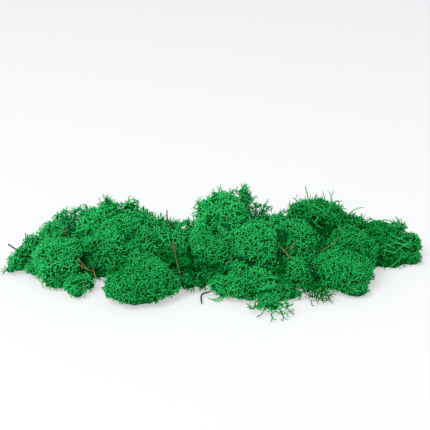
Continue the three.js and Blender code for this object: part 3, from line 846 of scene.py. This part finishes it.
# Dry needles, twigs and stalks.
# Pine needles, thin twigs and grass stalks lay among the lichen where it grew and were picked with
# it. They are dry and brown, and each is held only by the cushions that its ends are sunk between.
STEM_STEP = 0.7 * MM
STEM_SIDES = 8
CROOK_WIDTH = 4 * MM
KNOT_WIDTH = 1.6 * MM
DRY_GRAIN = ((7, 25, 1), 3.0, 0.4, 0.55, 0.8)


def stem_tree():
    """The tree that makes a closed round stem along each line of a route. The route's points say
    how thick it is there; knots roughen it, and crooks bend it a little to and fro."""
    tree = bpy.data.node_groups.new("dry_stem", "GeometryNodeTree")
    for name, kind in (("Route", "Geometry"), ("Thickness", "Float"), ("Flatness", "Float"),
                       ("Knots", "Float"), ("Crooks", "Float"), ("Finish", "Material")):
        add_input(tree, name, kind)
    tree.interface.new_socket("Stem", in_out="OUTPUT", socket_type="NodeSocketGeometry")
    given = tree.nodes.new("NodeGroupInput").outputs
    position = add_node(tree, "GeometryNodeInputPosition")
    factor = add_node(tree, "GeometryNodeSplineParameter")[0]

    line = add_node(tree, "GeometryNodeMeshToCurve", given["Route"])
    line = add_node(tree, "GeometryNodeCurveSplineType", line, spline_type="CATMULL_ROM")
    line = add_node(tree, "GeometryNodeResampleCurve", line, None, STEM_STEP, mode="LENGTH")
    line = store(tree, line, "along", factor)
    bend = add_node(tree, "ShaderNodeTexNoise", position, 1 / CROOK_WIDTH, 1.0, 0.5)[1]
    bend = add_vector(tree, "SUBTRACT", bend, (0.5, 0.5, 0.5))
    bend = add_vector(tree, "SCALE", bend, given["Crooks"])
    line = add_node(tree, "GeometryNodeSetPosition", line, None, None, bend)

    section = add_node(tree, "GeometryNodeCurvePrimitiveCircle", STEM_SIDES, 0.5, mode="RADIUS")
    turn = add_math(tree, "MULTIPLY_ADD", factor, 2.0, -1.0)
    section = store(tree, section, "around", add_math(tree, "ABSOLUTE", turn))
    shape = add_node(tree, "ShaderNodeCombineXYZ", 1.0, given["Flatness"], 1.0)
    section = add_node(tree, "GeometryNodeTransform", section, None, None, shape)
    knots = add_math(tree, "SUBTRACT", noise(tree, position, KNOT_WIDTH), 0.5)
    knots = add_math(tree, "MULTIPLY_ADD", knots, given["Knots"], 1.0)
    girth = add_math(tree, "MULTIPLY", named(tree, "girth"), knots)
    girth = add_math(tree, "MULTIPLY", girth, given["Thickness"])
    stem = add_node(tree, "GeometryNodeCurveToMesh", line, section, girth, True)
    stem = add_node(tree, "GeometryNodeSetShadeSmooth", stem)

    around = map_range(tree, named(tree, "around"), 0, 1, 0.02, 0.98)
    slip = add_math(tree, "MULTIPLY", named(tree, "around"), 0.015)
    upward = map_range(tree, named(tree, "along"), 0, 1, 0.01, 0.97)
    upward = add_math(tree, "ADD", upward, slip)
    place = add_node(tree, "ShaderNodeCombineXYZ", around, upward, 0.0)
    stem = store(tree, stem, "OFBake", place, domain="CORNER", data_type="FLOAT2")
    stem = add_node(tree, "GeometryNodeSetMaterial", stem, None, given["Finish"])
    tree.links.new(stem, tree.nodes.new("NodeGroupOutput").inputs[0])
    return tree


def dry_finish(name, *colours, shine=0.3):
    """Dry plant matter: its colours from one end to the other, with streaks and specks."""
    finish, tree, shader = new_finish(name)
    place = add_node(tree, "ShaderNodeUVMap", uv_map="OFBake")
    upward = add_node(tree, "ShaderNodeSeparateXYZ", place)[1]
    stops = [number / (len(colours) - 1) for number in range(len(colours))]
    colour = colour_ramp(tree, upward, colours, stops)
    add_grain(tree, shader, colour, place, *DRY_GRAIN)
    shader.inputs["Specular IOR Level"].default_value = shine
    return finish


needle_finish = dry_finish("dry_pine_needle", (0.09, 0.038, 0.013), (0.27, 0.145, 0.048),
                           (0.32, 0.19, 0.064), (0.13, 0.060, 0.022))
twig_finish = dry_finish("weathered_twig", (0.055, 0.070, 0.050), (0.10, 0.040, 0.014),
                         (0.15, 0.042, 0.009), (0.08, 0.025, 0.008), shine=0.1)
stalk_finish = dry_finish("dry_grass_stalk", (0.36, 0.14, 0.050), (0.14, 0.10, 0.050),
                          (0.08, 0.110, 0.058), (0.075, 0.110, 0.060), (0.050, 0.080, 0.040),
                          (0.020, 0.040, 0.018))
green_stem_finish = dry_finish("dyed_stem", (0.004, 0.030, 0.011), (0.008, 0.042, 0.017),
                               (0.010, 0.036, 0.015), (0.005, 0.026, 0.010), shine=0.1)

NEEDLE = {"Thickness": 0.7 * MM, "Flatness": 0.7, "Knots": 0.15, "Crooks": 0.3 * MM,
          "Finish": needle_finish}
TWIG = {"Thickness": 1.6 * MM, "Flatness": 0.9, "Knots": 0.7, "Crooks": 1.0 * MM,
        "Finish": twig_finish}
STALK = {"Thickness": 0.95 * MM, "Flatness": 0.9, "Knots": 0.3, "Crooks": 0.6 * MM,
         "Finish": stalk_finish}
GREEN_STEM = {**TWIG, "Thickness": 1.5 * MM, "Finish": green_stem_finish}
stem_maker = stem_tree()


def route_mesh(lines, girths):
    """The route's lines as a mesh of edges; girths are the thickness shares from end to end."""
    points, edges, shares = [], [], []
    for line in lines:
        start = len(points)
        points.extend(Vector(point) * MM for point in line)
        edges.extend((start + i, start + i + 1) for i in range(len(line) - 1))
        for i in range(len(line)):
            place = i / (len(line) - 1) * (len(girths) - 1)
            low = min(int(place), len(girths) - 2)
            shares.append(girths[low] + (girths[low + 1] - girths[low]) * (place - low))
    mesh = bpy.data.meshes.new("route")
    mesh.from_pydata(points, edges, [])
    mesh.attributes.new("girth", "FLOAT", "POINT").data.foreach_set("value", shares)
    return mesh


def make_stem(name, kind, slot, girths, *lines):
    """A stem, or several joined ones, along its lines in millimetres."""
    return grow_piece(name, route_mesh(lines, girths), stem_maker, kind)


def stem_for(node, kind, slot, girths, *lines):
    """The stem that stands for a solid of the frame, with its lines' box centred on that solid's."""
    low, high = (Vector(corner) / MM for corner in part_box(node))
    corners = [Vector(point) for line in lines for point in line]
    centre = Vector([(min(c[i] for c in corners) + max(c[i] for c in corners)) / 2
                     for i in range(3)])
    shift = (low + high) / 2 - centre
    moved = [[Vector(point) + shift for point in line] for line in lines]
    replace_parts(make_stem("dry_" + node, kind, slot, girths, *moved), node)


POINTED = (1.2, 1.0, 1.0, 0.9, 0.25)
BROKEN = (0.9, 1.0, 1.05, 1.0, 0.85)
SLENDER = (0.6, 0.8, 1.0, 1.1, 1.1)
stem_for("twig_far_left", TWIG, "dry_wood", BROKEN,
         [(-193, 17, 26), (-186, 18, 20), (-181, 21, 12)])
stem_for("twig_left_stem", GREEN_STEM, "dry_wood", BROKEN,
         [(-137, 22, 47), (-136, 20, 39), (-136, 18, 31), (-134, 23, 25)])
stem_for("needle_pair_left", NEEDLE, "dry_wood", (0.25, 0.9, 1.0, 1.0, 1.2),
         [(-126, -20, 31), (-120, -23, 25), (-114, -24, 19), (-110, -17, 15)],
         [(-126, -23, 27), (-120, -25, 23), (-114.5, -24.2, 19.3)])
stem_for("needle_left_curved", NEEDLE, "dry_wood", POINTED,
         [(-112, -15, 19), (-109, -26, 17), (-107, -34, 13), (-110, -39, 7)])
stem_for("twig_standing", TWIG, "dry_wood", SLENDER,
         [(-46, 25, 57), (-46, 25, 50), (-43, 25, 40), (-41, 26, 31)])
stem_for("stalk_saddle", STALK, "dry_wood", BROKEN,
         [(-40, -1, 37), (-38, -9, 31), (-37, -19, 30), (-33, -32, 20), (-30, -33, 8)])
stem_for("needle_centre_right", NEEDLE, "dry_wood", POINTED,
         [(54, -7, 37), (58, -16, 36), (62, -21, 33), (67, -28, 29)])
stem_for("needle_centre_short", NEEDLE, "dry_wood", POINTED,
         [(69, -12, 42), (67, -15, 38), (63, -13, 32)])
stem_for("needle_right_curved", NEEDLE, "dry_wood", POINTED,
         [(90, -1, 27), (95, -7, 31), (101, -5, 34), (106, -3, 38), (109, 0, 42)])
stem_for("stalk_front", GREEN_STEM, "bare_stalk", BROKEN,
         [(4, -31, 9), (-5, -38, 5), (-13, -41, 3), (-13, -56, 2)])

# Loose straws, bits of needle and sprigs.
# Long single branches of the lichen, dyed like the rest, lie over the cushions or stand out of them,
# and broken bits of needle and twig are stuck between the tips. Nothing but the tangle holds them.
straw_finish = dry_finish("dyed_straw", (0.008, 0.24, 0.05), (0.020, 0.40, 0.09),
                          (0.035, 0.46, 0.11), (0.012, 0.32, 0.07), shine=0.05)
STRAW = {**STALK, "Finish": straw_finish}
SPRIG = {**STRAW, "Knots": 0.8, "Crooks": 1.2 * MM}
# Each straw's kind, its thickness and its line, in millimetres.
STRAWS = {
    "standing_a": (STRAW, 1.3, [(80, 42, 75), (82, 42, 66), (84, 40, 56)]),
    "standing_b": (STRAW, 1.0, [(96, 42, 70), (98, 42, 64), (99, 40, 56)]),
    "standing_c": (STRAW, 1.0, [(102, 42, 70), (105, 41, 62), (106, 40, 55)]),
    "standing_d": (STRAW, 0.9, [(106, 42, 71), (104, 41, 63), (104, 39, 56)]),
    "front_a": (STRAW, 1.2, [(37, -43, 21), (43, -45, 23), (48, -44, 22.5), (52, -40, 19)]),
    "front_b": (STRAW, 1.1, [(35, -44, 18), (45, -49, 16.5), (53, -47, 11)]),
    "front_c": (STRAW, 1.1, [(41, -47, 9), (45, -49, 16), (48, -45, 21)]),
    "front_d": (STRAW, 1.2, [(45, -49, 16), (49, -48, 9.5), (54, -47, 7), (60, -45, 6), (66, -40, 6)]),
    "peak_light": (STRAW, 1.1, [(5, 17, 58), (9, 16, 54.5), (13, 14, 51)]),
    "centre_stem": (STRAW, 0.9, [(2, -11, 43), (7, -9.5, 45), (12, -6, 46)]),
    "peak_side": (SPRIG, 1.2, [(-14, 32, 55), (-21, 31, 53.5), (-25, 31, 52.5)]),
    "arm_a": (STRAW, 0.9, [(154, 34, 27), (163, 33, 23.6), (170, 32, 21), (179, 31, 17)]),
    "arm_b": (STRAW, 0.8, [(147, 29, 20), (158, 30, 21), (169, 33, 22)]),
    "arm_c": (STRAW, 0.9, [(154, 41, 33), (164, 37, 27), (175, 35, 23)]),
    "arm_d": (STRAW, 0.9, [(141, 28, 24), (154, 26, 17.5), (167, 27, 14)]),
    "arm_e": (STRAW, 0.8, [(160, 26, 13), (169, 29, 18), (178, 33, 22)]),
    "arm_f": (STRAW, 0.8, [(150, 31, 25), (158, 29, 21), (165, 28, 18)]),
    "arm_g": (STRAW, 0.8, [(160, 31, 23), (170, 31, 21.5), (181, 33, 19)]),
    "arm_h": (STRAW, 0.7, [(166, 30, 20), (172, 28, 15), (177, 27, 10)]),
    "right_a": (STRAW, 1.2, [(102, 34, 51), (109, 24, 43), (115, 20, 36)]),
    "right_b": (STRAW, 1.2, [(83, 36, 61), (93, 30, 57), (101, 26, 51)]),
    "foot_a": (SPRIG, 1.3, [(-10, -41, 1.2), (-6, -44, 1.4), (-2, -43, 1.2), (3, -39, 2.5)]),
    "foot_b": (SPRIG, 1.2, [(-6, -44, 1.2), (-3, -47, 1.3), (1, -46, 1.5), (4, -41, 2.5)]),
}
for name, (kind, thickness, line) in STRAWS.items():
    make_stem("straw_" + name, {**kind, "Thickness": thickness * MM}, "moss", SLENDER, line)

BITS = {
    "lobe_needle": (NEEDLE, [(-118, -38, 15), (-119, -39.5, 9), (-121, -39, 4)]),
    "slope_twig": (TWIG, [(-141.5, 18, 43), (-142, 17.5, 39.6), (-143, 18, 35)]),
    "shoulder_fleck": (NEEDLE, [(-67, 31, 51), (-63, 31.5, 53), (-60, 34, 52)]),
    "shoulder_fleck_low": (NEEDLE, [(-80, 28, 46), (-76.5, 27, 45), (-72, 29, 46)]),
    "centre_bit": (NEEDLE, [(59, -15, 38.5), (60, -15, 35)]),
    "saddle_bit": (NEEDLE, [(-42, -11.5, 39.5), (-41.5, -12.5, 35)]),
}
for name, (kind, line) in BITS.items():
    make_stem("bit_" + name, kind, "dry_wood", BROKEN, line)
